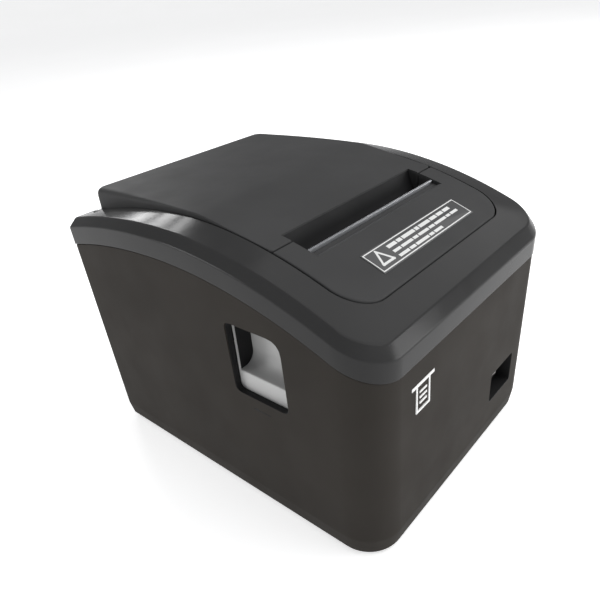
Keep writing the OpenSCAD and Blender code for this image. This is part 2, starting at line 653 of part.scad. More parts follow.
module fixed_blade() color([0.8, 0.8, 0.82]) {
    difference() {
        block([-42, -36.2, 109], [42, -18, 110]);
        both_sides() translate([30, -21.5, 100]) cylinder(h = 20, r = 1.5);
    }
}

// ---- Platen on the paper cover ----
module platen_carrier() color([0.62, 0.63, 0.65]) {
    difference() {
        union() {
            both_sides() along_x(44, 45.2) polygon([[-34, 94], [-34, 102], [-31.5, 104.5],
                [-31.5, 109], [-17, 109], [-17, 90], [-30, 90]]);
            block([-45.2, -31.5, 108], [45.2, -17, 109]);
        }
        both_sides() rod_x(40, 50, platen[0], platen[1], 4);
        both_sides() translate([30, -21.5, 100]) cylinder(h = 20, r = 1.5);
    }
}
module carrier_screws() color([0.6, 0.6, 0.62])
    both_sides() translate([30, -21.5, 106.6]) screw(2.6, 1.4, 1.25, 10);
module platen_roller() color([0.06, 0.06, 0.06]) {
    difference() {
        rod_x(-platen_hl, platen_hl, platen[0], platen[1], platen_r);
        rod_x(-50, 50, platen[0], platen[1], 2.5);
    }
}
module platen_shaft() color([0.7, 0.7, 0.72])
    rod_x(-45.3, 45.3, platen[0], platen[1], 2.5);
module platen_bearings() color([0.75, 0.6, 0.35])
    both_sides() difference() {
        rod_x(44, 45.2, platen[0], platen[1], 4);
        rod_x(40, 50, platen[0], platen[1], 2.5 + fit);
    }
module platen_gear() color([0.85, 0.85, 0.82])
    difference() {
        along_x(gear_x[0], gear_x[1]) translate(platen) gear_outline(gear_m, platen_teeth, platen_at);
        rod_x(30, 50, platen[0], platen[1], 2.5);
    }
module idler_gear() color([0.85, 0.85, 0.82])
    difference() {
        union() {
            along_x(gear_x[0], gear_x[1]) translate(idler) gear_outline(gear_m, idler_teeth, idler_at);
            rod_x(gear_x[1], gear_x[1] + 1.2, idler[0], idler[1], 4);
        }
        rod_x(30, 60, idler[0], idler[1], 2);
    }
module idler_shaft() color([0.7, 0.7, 0.72])
    rod_x(gear_x[0], outer_gear_x[1] + 0.4, idler[0], idler[1], 2);
module reduction_gear() color([0.85, 0.85, 0.82])
    difference() {
        along_x(outer_gear_x[0], outer_gear_x[1]) translate(idler)
            gear_outline(gear_m, reduction_teeth, reduction_at);
        rod_x(30, 60, idler[0], idler[1], 2);
    }
module motor_pinion() color([0.8, 0.65, 0.3])
    difference() {
        along_x(outer_gear_x[0], outer_gear_x[1]) translate(motor)
            gear_outline(gear_m, pinion_teeth, pinion_at);
        rod_x(30, 60, motor[0], motor[1], 1);
    }
module feed_motor() color([0.65, 0.65, 0.67]) {
    rod_x(54, 66, motor[0], motor[1], 14);
    rod_x(outer_gear_x[0], 54.1, motor[0], motor[1], 1 - fit);
    difference() {
        along_x(54, 55) for (p = motor_ears) hull() {
            translate(p) circle(r = 3.4, $fn = 32);
            translate(motor) circle(r = 8, $fn = 32);
        }
        for (p = motor_ears) rod_x(50, 60, p[0], p[1], 1.5);
    }
    for (p = motor_ears) rod_x(plate_x[1], 56.4, p[0], p[1], 1.5);
}
module hinge_pins() color([0.7, 0.7, 0.72])
    both_sides() rod_x(lid_hw - 4.2, 62, hinge[0], hinge[1], 1.8);
module paper_sensor() color([0.04, 0.04, 0.04])
    block([-7.5, -14.5, 60.5], [7.5, -9.8, 71.5]);

lower_case();
top_frame();
base_plate();
rubber_feet();
base_screws();
paper_cover();
front_cover();
tear_bar();
notice_label();
front_badge();
release_lever();
lever_shaft();
latch_hooks();
lever_spring();
catch_springs();
power_switch();
power_rocker();
feed_button();
button_board();
status_lenses();
rear_panel();
power_inlet();
usb_port();
ethernet_port();
serial_port();
drawer_port();
main_board();
board_screws();
head_cable();
roll_tray();
side_plate_left();
side_plate_right();
cross_plate();
chassis_screws();
print_head();
heat_sink();
head_springs();
cutter_frame();
moving_blade();
cutter_pinion();
cutter_motor();
fixed_blade();
platen_carrier();
carrier_screws();
platen_roller();
platen_shaft();
platen_bearings();
platen_gear();
idler_gear();
idler_shaft();
reduction_gear();
motor_pinion();
feed_motor();
hinge_pins();
paper_sensor();
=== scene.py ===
import json
import math
import bmesh
import bpy
from mathutils import Matrix, Vector


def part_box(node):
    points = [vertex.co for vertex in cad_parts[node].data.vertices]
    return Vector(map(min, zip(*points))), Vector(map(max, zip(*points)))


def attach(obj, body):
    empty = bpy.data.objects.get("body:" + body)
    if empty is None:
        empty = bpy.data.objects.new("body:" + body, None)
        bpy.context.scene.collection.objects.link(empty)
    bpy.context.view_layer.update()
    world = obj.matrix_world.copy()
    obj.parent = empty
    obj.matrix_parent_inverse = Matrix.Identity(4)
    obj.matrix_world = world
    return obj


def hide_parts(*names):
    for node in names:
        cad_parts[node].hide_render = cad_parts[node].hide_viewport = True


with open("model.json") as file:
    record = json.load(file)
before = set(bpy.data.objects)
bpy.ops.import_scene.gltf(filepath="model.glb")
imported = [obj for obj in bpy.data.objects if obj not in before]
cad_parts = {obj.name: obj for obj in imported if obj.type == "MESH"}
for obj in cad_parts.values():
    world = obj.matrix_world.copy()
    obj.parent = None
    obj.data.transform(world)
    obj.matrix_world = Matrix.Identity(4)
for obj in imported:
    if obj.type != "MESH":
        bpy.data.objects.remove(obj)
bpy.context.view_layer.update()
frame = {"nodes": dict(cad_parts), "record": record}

# ---------------------------------------------------------------- sizes, in millimetres
MM = 0.001
CASE_W, CASE_D, FOOT = 140.0, 170.8, 2.0
LEAN = 0.0236  # how far each wall leans out, for each mm of height
FRONT_R, REAR_R, WALL = 17.0, 3.4, 2.5  # radii of the plan, thickness of the frame
CREST_Y, CREST_Z = 17.8, 124.45  # highest point of the arched edge
ARCH_FRONT, ARCH_REAR = 210.8, 270.8  # radii of the arch in front of the crest and behind it
BAND, PANEL_RISE, SKIRT = 3.7, 6.0, 8.8  # the band and covers above the arch, the skirt below it
LID_HW, LID_FRONT, LID_REAR, SKIN = 56.8, -33.25, 84.1, 2.2  # HW is half of a width
COVER_FRONT, COVER_REAR, COVER_R = -72.7, -33.75, 14.0
SLOT_HW, SLOT_REAR, SLOT_FRONT = 45.7, -28.0, -46.2
DOME_Y, DOME_Z, DOME_R = 35.0, 132.35, 1002.0
HINGE, LEVER_AXIS = (76.0, 120.0), (-24.0, 64.0)
WINDOW = (-46.5, -17.0, 63.0, 97.0)  # low and high y, low and high z
WELL = (24.8, 47.9, 23.1, 39.4)  # low and high x, low and high z
MOUTH_FRONT, MOUTH_REAR, MOUTH_R = -73.2, 80.0, 14.5
ROCKER, ROCKER_TILT = (36.35, -76.6, 31.25), 7  # its axis, and its resting turn in degrees
TUCK = 8  # height over which the foot of the case tucks in
PAINTED_SHADE_LINER = 0.3  # how far the black linings of painted shade stand outside their openings
CORNER_STEPS, SIDE_STEPS, FILLET_STEPS = 16, 56, 4


# ---------------------------------------------------------------- curves of the case
def share(y, start, length):
    """How far y is along a stretch, from 0 at its start to 1 at its end."""
    return max(0.0, min(1.0, (y - start) / length))


def arch(y):
    """Height of the arched edge on the side walls."""
    r = ARCH_FRONT if y < CREST_Y else ARCH_REAR
    return CREST_Z - r + math.sqrt(r * r - (y - CREST_Y) ** 2)


def rim_rise(y):
    """Height of the frame's rim above the arch, where it meets the covers."""
    return PANEL_RISE - 0.2 - 1.8 * share(y, 10.0, 70.0)


def lid_top(y):
    """Height of the paper cover: a gentle dome, blended into a ramp down to the paper exit."""
    slope, blend, shift = 0.194, 0.25, 520  # the shift keeps the exponents near zero
    dome = DOME_Z - (y - DOME_Y) ** 2 / (2 * DOME_R)
    ramp = arch(SLOT_REAR) + PANEL_RISE + slope * (y - SLOT_REAR)
    lower = math.exp(-dome / blend + shift) + math.exp(-ramp / blend + shift)
    return -blend * math.log(lower) + shift * blend


def panel_top(y):
    """Height of the front cover."""
    return arch(y) + PANEL_RISE


def arc(cx, cy, r, start, end, steps):
    return [(cx + r * math.cos(math.radians(start + (end - start) * i / steps)),
             cy + r * math.sin(math.radians(start + (end - start) * i / steps)))
            for i in range(steps + 1)]


def plan(hx, y0, y1, front_r, rear_r):
    """A rounded rectangle, from the front right corner, with matching left and right halves."""
    right = arc(hx - front_r, y0 + front_r, front_r, -90, 0, CORNER_STEPS)
    low, high = y0 + front_r, y1 - rear_r
    right += [(hx, low + (high - low) * i / SIDE_STEPS) for i in range(1, SIDE_STEPS)]
    right += arc(hx - rear_r, y1 - rear_r, rear_r, 0, 90, CORNER_STEPS)
    return right + [(-x, y) for x, y in reversed(right)]


def lean_out(p, z):
    g = LEAN * (z - FOOT)
    return (p[0] * (1 + 2 * g / CASE_W), p[1] * (1 + 2 * g / CASE_D), z)


def case_plan(inset):
    rear = max(REAR_R - inset, 0.4)
    return plan(CASE_W / 2 - inset, -CASE_D / 2 + inset, CASE_D / 2 - inset, FRONT_R - inset, rear)


def flat_ring(inset, z):
    return [lean_out(p, z) for p in case_plan(inset)]


def arch_ring(inset, rise):
    return [lean_out(p, arch(p[1]) + rise) for p in case_plan(inset)]


def mouth_ring(out, rise, on_rim):
    pts = plan(LID_HW + 0.5 + out, MOUTH_FRONT - out, MOUTH_REAR + out, MOUTH_R + out, 2 + out)
    return [(x, y, arch(y) + rise + (rim_rise(y) if on_rim else 0)) for x, y in pts]


def softened(rings, radii, closed=True):
    """The rings of a section with its corners rounded: each radius is a size, or a function of y."""
    out = []
    count = len(rings)
    for j, ring in enumerate(rings):
        before, after = rings[j - 1], rings[(j + 1) % count]
        at_end = not closed and j in (0, count - 1)
        if not radii[j] or at_end:
            out.append(ring)
            continue
        steps = [[] for _ in range(FILLET_STEPS + 1)]
        for a, b, c in zip(before, ring, after):
            a, b, c = Vector(a), Vector(b), Vector(c)
            size = radii[j](b.y) if callable(radii[j]) else radii[j]
            p = b + (a - b).normalized() * min(size, 0.45 * (a - b).length)
            q = b + (c - b).normalized() * min(size, 0.45 * (c - b).length)
            for i, step in enumerate(steps):
                t = i / FILLET_STEPS
                step.append(tuple(p * (1 - t) ** 2 + b * 2 * t * (1 - t) + q * t * t))
        out += steps
    return out


def rounded(points, radii):
    """A 2-D outline with its corners rounded."""
    flat = [[(x, y, 0.0)] for x, y in points]
    return [(p[0][0], p[0][1]) for p in softened(flat, radii)]


# ---------------------------------------------------------------- mesh tools
def mesh_object(name, points, faces):
    mesh = bpy.data.meshes.new(name)
    mesh.from_pydata([(x * MM, y * MM, z * MM) for x, y, z in points], [], faces)
    obj = bpy.data.objects.new(name, mesh)
    bpy.context.collection.objects.link(obj)
    work = bmesh.new()
    work.from_mesh(mesh)
    bmesh.ops.recalc_face_normals(work, faces=work.faces)
    work.to_mesh(mesh)
    work.free()
    return obj


def loft(name, rings, closed=True):
    """Quads between rings. An open loft is closed at both ends by strips from right to left."""
    n = len(rings[0])
    points = [p for ring in rings for p in ring]
    faces = []
    for j in range(len(rings) if closed else len(rings) - 1):
        k = (j + 1) % len(rings)
        faces += [(j * n + i, j * n + (i + 1) % n, k * n + (i + 1) % n, k * n + i) for i in range(n)]
    if not closed:
        for base in (0, (len(rings) - 1) * n):
            faces += [(base + i, base + i + 1, base + n - 2 - i, base + n - 1 - i)
                      for i in range(n // 2 - 1)]
    return mesh_object(name, points, faces)


def prism_faces(n):
    """The two ends of a prism and its sides, for n points below and then n above."""
    faces = [tuple(range(n)), tuple(range(2 * n - 1, n - 1, -1))]
    return faces + [(i, (i + 1) % n, n + (i + 1) % n, n + i) for i in range(n)]


def prism(name, outline, axis, low, high):
    """A closed prism: the outline lies in the plane across the axis, in x, y, z order."""
    def place(p, level):
        spot = list(p)
        spot.insert("xyz".index(axis), level)
        return tuple(spot)
    points = [place(p, level) for level in (low, high) for p in outline]
    return mesh_object(name, points, prism_faces(len(outline)))


def box(name, low, high):
    outline = [(low[0], low[1]), (high[0], low[1]), (high[0], high[1]), (low[0], high[1])]
    return prism(name, outline, "z", low[2], high[2])


def rod(name, axis, centre, radius, low, high, steps=48):
    return prism(name, circle(*centre, radius, steps), axis, low, high)


def circle(cx, cy, radius, steps):
    """A closed circle as an outline, without the repeated last point."""
    return arc(cx, cy, radius, 0, 360, steps)[:-1]


def span(side, inner, outer):
    """The two x of a stretch on one side of the middle, the lower one first."""
    return sorted((side * inner, side * outer))


def combine(obj, other, operation):
    """Cuts the other piece away from obj, or joins it on, and removes the other piece."""
    step = obj.modifiers.new("step", "BOOLEAN")
    step.operation = operation
    step.solver = "MANIFOLD"
    step.object = other
    graph = bpy.context.evaluated_depsgraph_get()
    shape = bpy.data.meshes.new_from_object(obj.evaluated_get(graph))
    obj.modifiers.clear()
    obj.data = shape
    bpy.data.objects.remove(other)


def cut(obj, *others):
    for other in others:
        combine(obj, other, "DIFFERENCE")


def join(obj, *others):
    for other in others:
        combine(obj, other, "UNION")


def soften_edges(obj, width, angle):
    """A small worn edge wherever two faces meet at more than the angle."""
    edge = obj.modifiers.new("edges", "BEVEL")
    edge.width = width * MM
    edge.segments = 2
    edge.limit_method = "ANGLE"
    edge.angle_limit = math.radians(angle)


def even_shading(obj):
    even = obj.modifiers.new("even", "WEIGHTED_NORMAL")
    even.keep_sharp = True


def dress(obj, body, slot, bevel=0.0, stands_for=()):
    """Gives a new piece its shading, its body, its finish and the CAD nodes that it stands for."""
    obj.data.shade_smooth()
    obj.data.set_sharp_from_angle(angle=math.radians(32))
    if bevel:
        soften_edges(obj, bevel, 40)
    even_shading(obj)
    obj.data.materials.clear()
    obj.data.materials.append(MATERIALS[slot])
    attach(obj, body)
    if stands_for:
        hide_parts(*stands_for)


# ---------------------------------------------------------------- materials
def node(tree, kind, **values):
    item = tree.nodes.new(kind)
    for key, value in values.items():
        if key in item.inputs:
            item.inputs[key].default_value = value
        else:
            setattr(item, key, value)
    return item


def start_material(name, metallic, specular=0.5, coat=0.0):
    mat = bpy.data.materials.new(name)
    mat.use_nodes = True
    tree = mat.node_tree
    shader = tree.nodes["Principled BSDF"]
    shader.inputs["Metallic"].default_value = metallic
    shader.inputs["Specular IOR Level"].default_value = specular
    shader.inputs["Coat Weight"].default_value = coat
    where = tree.nodes.new("ShaderNodeTexCoord")
    return mat, tree, shader, where.outputs["Object"]


def noise(tree, place, scale, detail=4.0, stretch=(1, 1, 1)):
    if stretch != (1, 1, 1):
        spread = tree.nodes.new("ShaderNodeMapping")
        spread.inputs["Scale"].default_value = stretch
        tree.links.new(place, spread.inputs["Vector"])
        place = spread.outputs["Vector"]
    item = node(tree, "ShaderNodeTexNoise", Scale=scale, Detail=detail)
    tree.links.new(place, item.inputs["Vector"])
    return item.outputs["Fac"]


def ramp(tree, source, low, high, start=0.35, end=0.65):
    item = tree.nodes.new("ShaderNodeValToRGB")
    item.color_ramp.elements[0].position = start
    item.color_ramp.elements[1].position = end
    item.color_ramp.elements[0].color = (*low, 1)
    item.color_ramp.elements[1].color = (*high, 1)
    tree.links.new(source, item.inputs["Fac"])
    return item.outputs["Color"]


def level(tree, source, low, high):
    item = node(tree, "ShaderNodeMapRange")
    item.inputs["From Min"].default_value = 0.3
    item.inputs["From Max"].default_value = 0.7
    item.inputs["To Min"].default_value = low
    item.inputs["To Max"].default_value = high
    tree.links.new(source, item.inputs["Value"])
    return item.outputs["Result"]


def bump(tree, shader, heights, strength, distance):
    item = node(tree, "ShaderNodeBump", Strength=strength, Distance=distance)
    tree.links.new(heights, item.inputs["Height"])
    tree.links.new(item.outputs["Normal"], shader.inputs["Normal"])


def shades(colour, spread):
    return tuple(c * (1 - spread) for c in colour), tuple(c * (1 + spread) for c in colour)


def plastic(name, colour, rough, grain=2600, relief=0.12, spread=0.07, specular=0.5, coat=0.0):
    """Moulded plastic: a fine grain, uneven gloss and slight handling marks."""
    mat, tree, shader, place = start_material(name, 0.0, specular, coat)
    broad = noise(tree, place, 22, 3)
    tree.links.new(ramp(tree, broad, *shades(colour, spread)), shader.inputs["Base Color"])
    tree.links.new(level(tree, noise(tree, place, 60, 6), rough - 0.05, rough + 0.05),
                   shader.inputs["Roughness"])
    bump(tree, shader, noise(tree, place, grain, 2), relief, 0.0001)
    return mat


def metal(name, colour, rough, stretch=(1, 1, 1), grain=900, relief=0.08):
    """Metal with a directional grain and faint stains."""
    mat, tree, shader, place = start_material(name, 1.0)
    stains = noise(tree, place, 35, 5)
    tree.links.new(ramp(tree, stains, *shades(colour, 0.06)), shader.inputs["Base Color"])
    lines = noise(tree, place, grain, 3, stretch)
    tree.links.new(level(tree, lines, rough - 0.08, rough + 0.08), shader.inputs["Roughness"])
    bump(tree, shader, lines, relief, 0.0001)
    return mat


def circuit_board(name, colour):
    """Solder mask over copper: a weave of tracks under a glossy coat."""
    mat, tree, shader, place = start_material(name, 0.0, 0.5, 0.3)
    tracks = node(tree, "ShaderNodeTexBrick", Scale=140.0)
    tracks.inputs["Color1"].default_value = (*colour, 1)
    tracks.inputs["Color2"].default_value = (colour[0] * 1.3, colour[1] * 1.25, colour[2] * 1.2, 1)
    tracks.inputs["Mortar"].default_value = (colour[0] * 0.6, colour[1] * 0.7, colour[2] * 0.6, 1)
    tree.links.new(place, tracks.inputs["Vector"])
    tree.links.new(tracks.outputs["Color"], shader.inputs["Base Color"])
    tree.links.new(level(tree, noise(tree, place, 200, 3), 0.25, 0.4), shader.inputs["Roughness"])
    return mat


def clear_plastic(name, colour):
    """A clear light pipe."""
    mat, tree, shader, place = start_material(name, 0.0)
    shader.inputs["Transmission Weight"].default_value = 0.7
    tree.links.new(ramp(tree, noise(tree, place, 300), *shades(colour, 0.05)), shader.inputs["Base Color"])
    tree.links.new(level(tree, noise(tree, place, 500), 0.12, 0.2), shader.inputs["Roughness"])
    return mat


MATERIALS = {
    "case_black": plastic("case_black", (0.034, 0.0305, 0.027), 0.58, specular=0.04),
    "frame_black": plastic("frame_black", (0.037, 0.0368, 0.037), 0.17, relief=0.02, specular=0.08),
    "cover_black": plastic("cover_black", (0.05, 0.05, 0.0505), 0.58, specular=0.12),
    # inner_black also colours the black sheets of painted shade in the lever's window, the switch recess and
    # the lever's scoop.
    "inner_black": plastic("inner_black", (0.009, 0.009, 0.0095), 0.6, relief=0.05, specular=0.2),
    # switch_grey is raised as painted light: a lighter grey that stands in for the light which the recess
    # keeps off the rocker.
    "switch_grey": plastic("switch_grey", (0.3, 0.29, 0.28), 0.4, relief=0.04),
    "lever_grey": plastic("lever_grey", (0.46, 0.46, 0.455), 0.5, spread=0.04),
    "rubber": plastic("rubber", (0.012, 0.012, 0.012), 0.75, grain=1500, relief=0.3, specular=0.3),
    "steel": metal("steel", (0.46, 0.47, 0.49), 0.38, (1, 12, 12)),
    "blade_steel": metal("blade_steel", (0.5, 0.51, 0.53), 0.36, (1, 16, 16), 1300),
    "spring_steel": metal("spring_steel", (0.55, 0.56, 0.58), 0.25),
    "aluminium": metal("aluminium", (0.7, 0.71, 0.73), 0.36, (1, 9, 1)),
    "bronze": metal("bronze", (0.62, 0.42, 0.2), 0.32, (8, 1, 1)),
    "gear_white": plastic("gear_white", (0.72, 0.71, 0.66), 0.4, relief=0.05, spread=0.03),
    "board_green": circuit_board("board_green", (0.015, 0.13, 0.05)),
    "label_black": plastic("label_black", (0.016, 0.016, 0.017), 0.33, relief=0.03, coat=0.2),
    "badge_white": plastic("badge_white", (0.78, 0.78, 0.77), 0.5, relief=0.05, spread=0.03),
    "ceramic": plastic("ceramic", (0.66, 0.62, 0.55), 0.25, relief=0.03, coat=0.5),
    "cable_white": plastic("cable_white", (0.6, 0.6, 0.57), 0.45, grain=900),
    "lens_clear": clear_plastic("lens_clear", (0.75, 0.82, 0.74)),
}


# ---------------------------------------------------------------- case
def grown_corners(sides, grow):
    """The corners of a rectangle that is grown on every side, from the lowest one round."""
    low, high = [v - grow for v in sides[0::2]], [v + grow for v in sides[1::2]]
    return [(low[0], low[1]), (high[0], low[1]), (high[0], high[1]), (low[0], high[1])]


def window_prism(grow, x0, x1):
    """The lever's window in the side wall, as a solid to cut with."""
    return prism("window", rounded(grown_corners(WINDOW, grow), [3.2, 3.2, 3.4, 6.4]), "x", x0, x1)


def well_prism(grow, y0, y1):
    """The power switch's recess in the front wall, as a solid to cut with."""
    return prism("well", rounded(grown_corners(WELL, grow), [1.4 + grow] * 4), "y", y0, y1)


def build_lower_case():
    """The matt case: outside wall, the step that the frame sits over, and inside wall."""
    rings = [flat_ring(1.6, FOOT), flat_ring(0.4, FOOT + TUCK), arch_ring(0.4, -SKIRT - 0.4),
             arch_ring(1.8, -SKIRT - 0.4), arch_ring(1.8, -SKIRT + 2.2), arch_ring(2.8, -SKIRT + 2.2),
             flat_ring(2.9, FOOT + TUCK), flat_ring(2.9, FOOT)]
    shell = loft("case_shell", softened(rings, [0.5, 0.8, 0.35, 0, 0, 0, 0, 0.3]))
    join(shell, well_prism(1.8, -84, -75.5))
    cut(shell, window_prism(0, -80, -60), well_prism(0, -95, -77.3),
        box("hole", (WELL[0] + 2, -90, WELL[2] + 2), (WELL[1] - 2, -70, WELL[3] - 2)),
        box("rear", (-53, 80, 7.6), (53, 95, 27.4)))
    for z, radius in ((78, 3.4), (86, 1.25), (90, 1.25), (94, 1.25)):
        cut(shell, rod("button_or_light", "x", (-66, z), radius, 60, 80))
    dress(shell, "case", "case_black", 0.0, ["lower_case"])


def build_top_frame():
    """The glossy frame: skirt, sloping band, rim round the covers, and the hinge's bosses."""
    rings = [arch_ring(0, -SKIRT), arch_ring(0, 0), arch_ring(BAND, BAND),
             mouth_ring(0, 0, True), mouth_ring(0, -2.2, False), mouth_ring(2, -2.2, False),
             mouth_ring(2, 3, False), arch_ring(5.6, 1.2), arch_ring(WALL, -1.4),
             arch_ring(WALL, -SKIRT + 2.8), arch_ring(1.5, -SKIRT + 2.8), arch_ring(1.5, -SKIRT)]
    ring = loft("case_frame", softened(rings, [0.3, 0.7, 0.9, 0.5, 0, 0, 0, 0, 0, 0, 0, 0.2]))
    for side in (-1, 1):
        boss = rod("boss", "x", HINGE, 3.6, *span(side, LID_HW + 0.7, 62))
        cut(boss, box("above", (-70, 60, HINGE[1] + 2.1), (70, 90, HINGE[1] + 10)))
        join(ring, boss)
        cut(ring, rod("bore", "x", HINGE, 1.8, *span(side, 50, 62.1)))
    cut(ring, box("notch", (-LID_HW - 0.5, 70, 110.8), (LID_HW + 0.5, 95, 140)))
    dress(ring, "case", "frame_black", 0.0, ["top_frame"])


# ---------------------------------------------------------------- covers
def lid_ring(inset, height):
    pts = plan(LID_HW - inset, LID_FRONT + inset, LID_REAR - inset,
               max(1.2 - inset, 0.3), max(5 - inset, 0.5))
    return [(x, y, height(y)) for x, y in pts]


def lid_edge(y):
    """Height of the cover's lower edge: it follows the arch, then drops into the rear skirt."""
    side, skirt = arch(y) - 1.2, 111.6
    return side + (skirt - side) * share(y, 66.0, 6.0)


def crown_radius(y):
    """Radius of the cover's top edge, which is softer towards the rear."""
    return 0.7 + 3.0 * share(y, 15, 55)


def build_paper_cover():
    """The lifting cover, with its hinge's bosses, two screw posts and two ribs."""
    rings = [lid_ring(2, lambda y: lid_top(y) - SKIN), lid_ring(2, lid_edge), lid_ring(0, lid_edge),
             lid_ring(0, lambda y: lid_top(y) - 0.02), lid_ring(9, lid_top)]
    crown = softened(rings, [0, 0.3, 0.3, crown_radius, 0], closed=False)
    cover = loft("cover_shell", crown, closed=False)
    cut(cover, box("slot", (-SLOT_HW, -40, 100), (SLOT_HW, SLOT_REAR, 140)))
    for side in (-1, 1):
        cheek = [(LID_FRONT, 112), (LID_FRONT, 123), (-20, 125), (-26, 112)]
        join(cover, prism("cheek", cheek, "x", *span(side, SLOT_HW, SLOT_HW + 1.6)))
        join(cover, rod("boss", "x", HINGE, 4.6, *span(side, LID_HW - 4.4, LID_HW - 0.05)))
        cut(cover, rod("bore", "x", HINGE, 1.85, *span(side, 50, 62)))
        screw = (30 * side, -21.5)
        join(cover, prism("post", circle(*screw, 3.6, 40), "z", 110, 125))
        cut(cover, prism("hole", circle(*screw, 1.25, 32), "z", 105, 121))
    ys = [-10 + 90 * i / 24 for i in range(25)]
    for x in (-20, 20):
        rib = [(y, lid_top(y) - 1) for y in ys] + [(y, lid_top(y) - 6) for y in reversed(ys)]
        join(cover, prism("rib", rib, "x", x - 0.8, x + 0.8))
    dress(cover, "lid", "cover_black", 0.0, ["paper_cover"])
    build_chute()


def build_chute():
    """The dark curved wall that guides the paper up to the exit."""
    rear = SLOT_REAR + 0.1
    front = [(rear, 125.0), (-28.6, 122.4), (-30.4, 117.8), (-34.2, 111.4)]
    chute = front + [(-32.8, 110.8), (-29, 117.4), (-27.2, 122), (rear + 1.2, 124.6)]
    outline = rounded(chute, [0.3, 1.5, 4, 0.4, 0.3, 3, 0.8, 0.2])
    wall = prism("chute", outline, "x", -SLOT_HW - 0.3, SLOT_HW + 0.3)
    dress(wall, "lid", "inner_black")


def cover_ring(inset, drop):
    pts = plan(LID_HW - inset, COVER_FRONT + inset, COVER_REAR - inset, COVER_R - inset, 0.5)
    return [(x, y, panel_top(y) - drop) for x, y in pts]


def build_front_cover():
    """The fixed front cover, with the groove in front of the paper exit and its two cheeks."""
    rings = [cover_ring(1.8, SKIN), cover_ring(1.8, 6.2), cover_ring(0, 6.2), cover_ring(0, 0),
             cover_ring(3, 0)]
    panel = loft("panel_shell", softened(rings, [0, 0.3, 0.3, 1.0, 0], closed=False), closed=False)
    cut(panel, box("slot", (-SLOT_HW, SLOT_FRONT, 100), (SLOT_HW, -30, 140)))
    lip = panel_top(SLOT_FRONT)
    groove = [(SLOT_FRONT - 0.2, lip), (SLOT_FRONT + 1.0, 120.4), (-43.6, 119.5), (-41.45, 120.2),
              (-41.45, 113), (-42.9, 113), (-42.9, 117.2), (SLOT_FRONT - 0.2, lip - 2.1)]
    outline = rounded(groove, [0.3, 2.2, 2.2, 0.3, 0.2, 0.2, 0.6, 0])
    join(panel, prism("groove", outline, "x", -SLOT_HW, SLOT_HW))
    for side in (-1, 1):
        cheek = [(SLOT_FRONT, 114), (SLOT_FRONT, 120), (COVER_REAR, 123), (COVER_REAR, 114)]
        join(panel, prism("cheek", cheek, "x", *span(side, SLOT_HW, SLOT_HW + 1.4)))
    dress(panel, "case", "cover_black", 0.0, ["front_cover"])


def on_panel(name, outline, low, high):
    """A thin printed layer that follows the front cover."""
    points = [(x, y, panel_top(y) + level) for level in (low, high) for x, y in outline]
    return mesh_object(name, points, prism_faces(len(outline)))


def merged(name, pieces):
    """One mesh from several separate ones."""
    work = bmesh.new()
    for piece in pieces:
        work.from_mesh(piece.data)
        bpy.data.objects.remove(piece)
    mesh = bpy.data.meshes.new(name)
    work.to_mesh(mesh)
    work.free()
    obj = bpy.data.objects.new(name, mesh)
    bpy.context.collection.objects.link(obj)
    return obj


def build_label():
    """A dark film label with a plain outline, a plain triangle and rows of plain bars."""
    low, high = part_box("notice_label")
    x0, x1, y0, y1 = low[0] / MM, high[0] / MM, low[1] / MM, high[1] / MM
    top, ink, line, gap = 0.2, 0.24, 0.45, 0.6
    film = loft_strip("notice_film", x0, x1, y0, y1, 0.0, top)
    dress(film, "case", "label_black", 0.0, ["notice_label"])
    indent, word_gap = 14, 0.7
    marks = [
        (x0 + gap, y0 + gap, x1 - gap, y0 + gap + line), (x0 + gap, y1 - gap - line, x1 - gap, y1 - gap),
        (x0 + gap, y0 + gap, x0 + gap + line, y1 - gap), (x1 - gap - line, y0 + gap, x1 - gap, y1 - gap)]
    rows = [(y1 - 3.9, 1.6, [6, 3.2, 9, 2.6, 8, 5, 4.6, 5]),
            (y1 - 6.6, 1.25, [5, 8, 3.4, 7.6, 4, 9, 3, 5.6]),
            (y1 - 9.3, 1.25, [7, 4, 9.6, 3.2, 6.4])]
    for y, tall, words in rows:
        x = x0 + indent
        for word in words:
            marks.append((x, y, x + word, y + tall))
            x += word + word_gap
    pieces = [loft_strip("mark", m[0], m[2], m[1], m[3], top, ink) for m in marks]
    corners = arc(x0 + 7.4, (y0 + y1) / 2 - 0.5, 4.1, 90, 330, 2)
    for i in range(3):
        pieces.append(bar_piece(corners[i], corners[(i + 1) % 3], 1.0, top, ink + 0.01 * i))
    printed = merged("notice_print", pieces)
    dress(printed, "case", "badge_white")


def loft_strip(name, x0, x1, y0, y1, low, high):
    """A thin plate on the front cover, in strips along y so that it follows the curve."""
    steps = max(1, round((y1 - y0) / 1.0))
    ys = [y0 + (y1 - y0) * i / steps for i in range(steps + 1)]
    points = []
    for y in ys:
        z = panel_top(y)
        points += [(x0, y, z + low), (x1, y, z + low), (x1, y, z + high), (x0, y, z + high)]
    faces = [(0, 1, 2, 3), tuple(4 * steps + i for i in (3, 2, 1, 0))]
    for s in range(steps):
        for i in range(4):
            j = (i + 1) % 4
            faces.append((4 * s + i, 4 * s + 4 + i, 4 * s + 4 + j, 4 * s + j))
    return mesh_object(name, points, faces)


def bar_piece(a, b, width, low, high):
    """A slanted line printed on the label."""
    a, b = Vector(a), Vector(b)
    along = (b - a).normalized() * width * 0.5
    across = Vector((-along.y, along.x))
    middle = [(a - along).lerp(b + along, i / 4) for i in range(5)]
    outline = [tuple(p + across) for p in middle] + [tuple(p - across) for p in reversed(middle)]
    return on_panel("line", outline, low, high)


